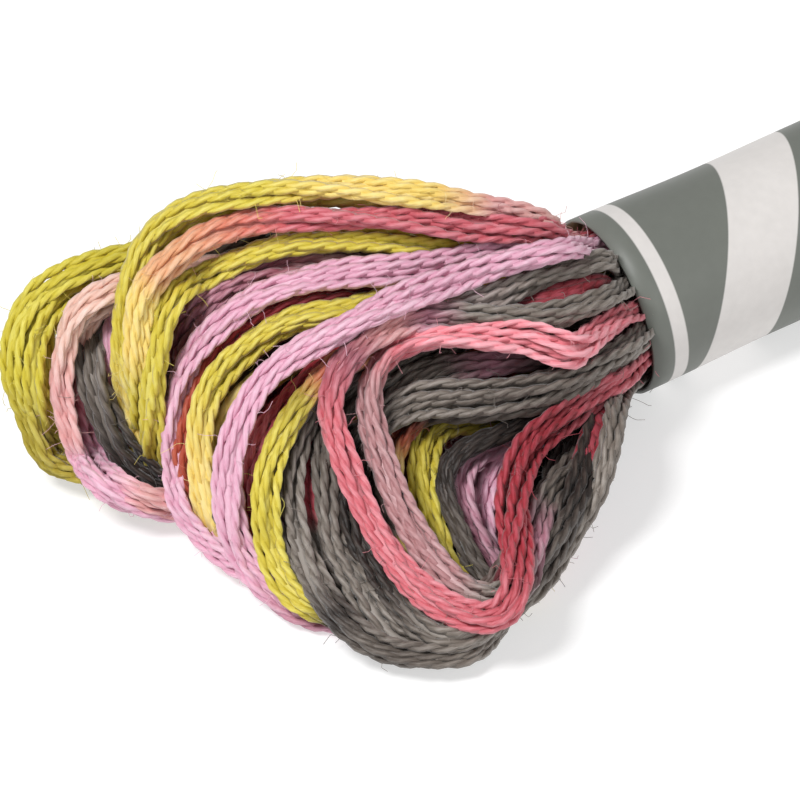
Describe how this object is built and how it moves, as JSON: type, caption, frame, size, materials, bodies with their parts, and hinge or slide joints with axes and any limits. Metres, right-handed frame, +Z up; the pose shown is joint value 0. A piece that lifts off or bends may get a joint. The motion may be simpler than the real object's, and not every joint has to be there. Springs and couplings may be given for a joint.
{
  "type": "skein of embroidery floss",
  "caption": "Pull skein of variegated stranded cotton embroidery floss lying flat, its loops fanning out of a paper band.",
  "frame": {"origin": "middle of the band's flat underside, on the surface that the skein lies on", "axes": "+X along the skein from the fanned near loops to the far loops, +Y to the back, +Z up"},
  "size_m": [0.1544, 0.0202, 0.0125],
  "materials": {
    "cotton": "mercerised cotton with a soft sheen, in changing pink, lilac, yellow and grey",
    "paper": "smooth printed paper, matte"
  },
  "bodies": {
    "root": {"skein": "cotton", "band": "paper"}
  },
  "joints": []
}
